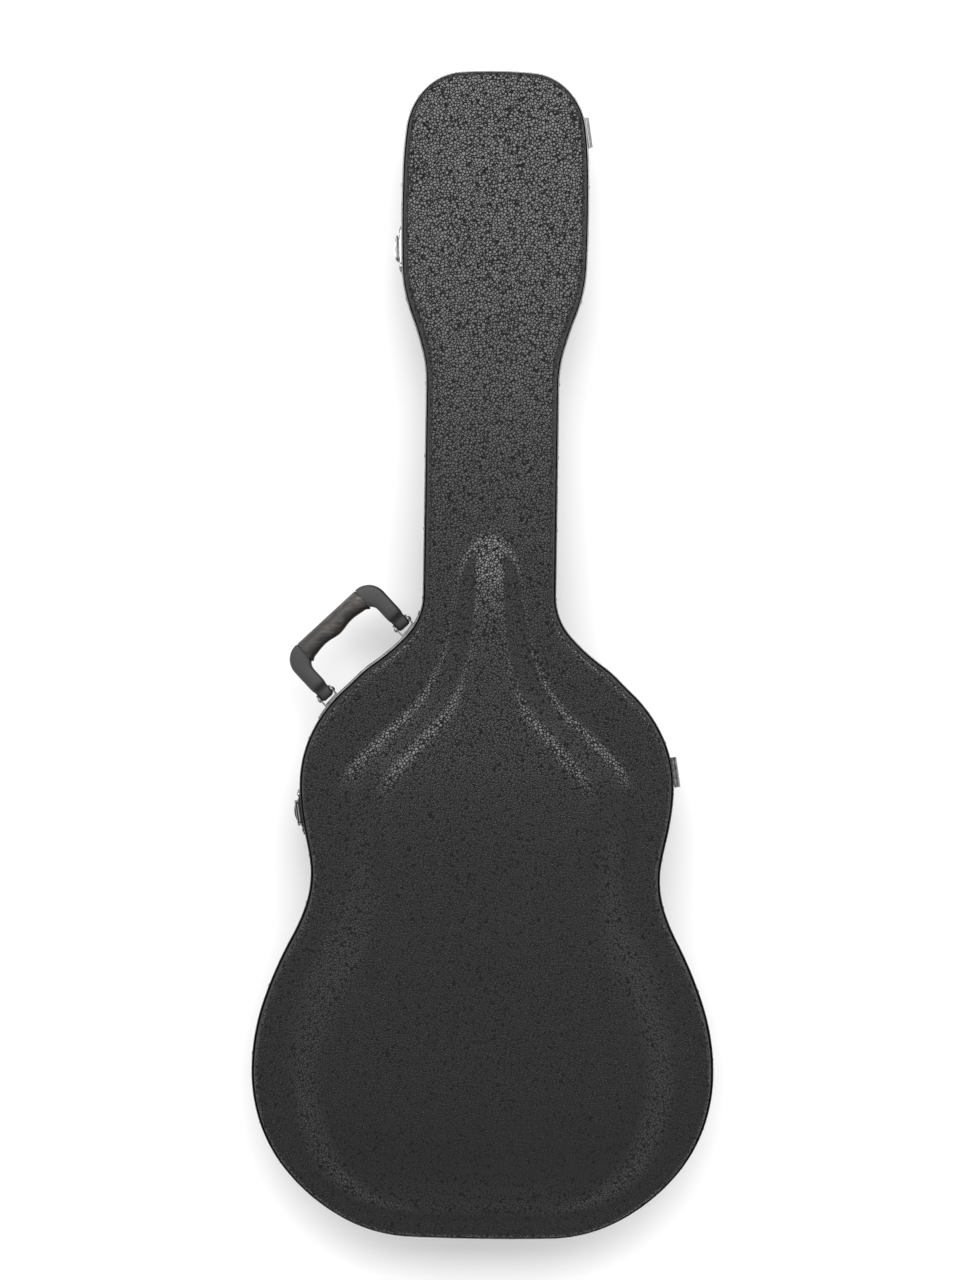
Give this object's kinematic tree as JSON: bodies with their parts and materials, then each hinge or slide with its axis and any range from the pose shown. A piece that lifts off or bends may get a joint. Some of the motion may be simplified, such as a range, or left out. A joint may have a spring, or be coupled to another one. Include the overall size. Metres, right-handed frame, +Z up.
{
  "type": "guitar case",
  "caption": "Hard-shell guitar case with arched hinged lid, aluminium rim, draw latches, swinging carry handle and plush-lined cavity with an accessory compartment.",
  "frame": {"origin": "middle of the flat back face that the case lies on", "axes": "+Y from the butt end to the head end, +X towards the hinges, +Z up from the back to the lid"},
  "size_m": [0.4434, 1.12, 0.148],
  "materials": {
    "moulded_abs": "matte, pebbled leather grain",
    "valance_aluminium": "satin extruded",
    "chrome": "bright plated",
    "zinc_steel": "plated",
    "handle_plastic": "fine matte",
    "grip_rubber": "soft, slight sheen",
    "foam": "expanded bead foam",
    "plush": "short pile plush",
    "board": "plush-covered board",
    "tape": "woven tape"
  },
  "bodies": {
    "base": {"base_foam": "foam", "base_hinge_rivets": "zinc_steel", "base_lining": "plush", "base_shell": "moulded_abs", "base_valance": "valance_aluminium", "base_valance_rivets": "zinc_steel", "flap_hinge_tape": "tape", "flap_ledge": "plush", "handle_bracket_lower": "zinc_steel", "handle_bracket_upper": "zinc_steel", "handle_pin_lower": "zinc_steel", "handle_pin_upper": "zinc_steel", "handle_plate": "zinc_steel", "head_hinge_base_leaf": "zinc_steel", "head_hinge_pin": "zinc_steel", "head_latch_pivots": "zinc_steel", "head_latch_plate": "chrome", "latch_plate_rivets": "zinc_steel", "neck_cradle": "plush", "nut_rest": "plush", "upper_bout_hinge_base_leaf": "zinc_steel", "upper_bout_hinge_pin": "zinc_steel", "upper_bout_latch_pivots": "zinc_steel", "upper_bout_latch_plate": "chrome"},
    "lid": {"head_hinge_lid_leaf": "zinc_steel", "head_latch_keeper": "chrome", "latch_keeper_rivets": "zinc_steel", "lid_foam": "foam", "lid_hinge_rivets": "zinc_steel", "lid_lining": "plush", "lid_shell": "moulded_abs", "lid_valance": "valance_aluminium", "lid_valance_rivets": "zinc_steel", "upper_bout_hinge_lid_leaf": "zinc_steel", "upper_bout_latch_keeper": "chrome"},
    "handle": {"handle_body": "handle_plastic", "handle_grip": "grip_rubber"},
    "compartment_flap": {"compartment_flap": "board", "flap_tab": "tape"},
    "head_latch_lever": {"head_latch_lever": "chrome"},
    "head_latch_bail": {"head_latch_bail": "chrome"},
    "upper_bout_latch_lever": {"upper_bout_latch_lever": "chrome"},
    "upper_bout_latch_bail": {"upper_bout_latch_bail": "chrome"}
  },
  "joints": [
    {"name": "lid_hinge", "type": "hinge", "parent": "base", "child": "lid", "pos_m": [0.2217, -0.37, 0.1], "axis": [-0.1503, 0.9886, 0], "range_deg": [0, 100]},
    {"name": "handle_swing", "type": "hinge", "parent": "base", "child": "handle", "pos_m": [-0.1197, -0.0063, 0.085], "axis": [0.7254, 0.6884, 0], "range_deg": [-75, 75]},
    {"name": "flap_hinge", "type": "hinge", "parent": "base", "child": "compartment_flap", "pos_m": [0.0362, 0.167, 0.0585], "axis": [0, 1, 0], "range_deg": [0, 90]},
    {"name": "head_latch_turn", "type": "hinge", "parent": "base", "child": "head_latch_lever", "pos_m": [-0.0936, 0.38891, 0.091], "axis": [-0.0232, 0.9997, 0], "range_deg": [0, 105]},
    {"name": "head_bail_turn", "type": "hinge", "parent": "head_latch_lever", "child": "head_latch_bail", "pos_m": [-0.0926, 0.38893, 0.084], "axis": [-0.0232, 0.9997, 0], "range_deg": [-105, 0]},
    {"name": "upper_bout_latch_turn", "type": "hinge", "parent": "base", "child": "upper_bout_latch_lever", "pos_m": [-0.18126, -0.15461, 0.091], "axis": [-0.1524, 0.9883, 0], "range_deg": [0, 105]},
    {"name": "upper_bout_bail_turn", "type": "hinge", "parent": "upper_bout_latch_lever", "child": "upper_bout_latch_bail", "pos_m": [-0.18027, -0.15446, 0.084], "axis": [-0.1524, 0.9883, 0], "range_deg": [-105, 0]}
  ],
  "couplings": [
    {"joint": "head_bail_turn", "follows": "head_latch_turn", "ratio": -1},
    {"joint": "upper_bout_bail_turn", "follows": "upper_bout_latch_turn", "ratio": -1}
  ]
}
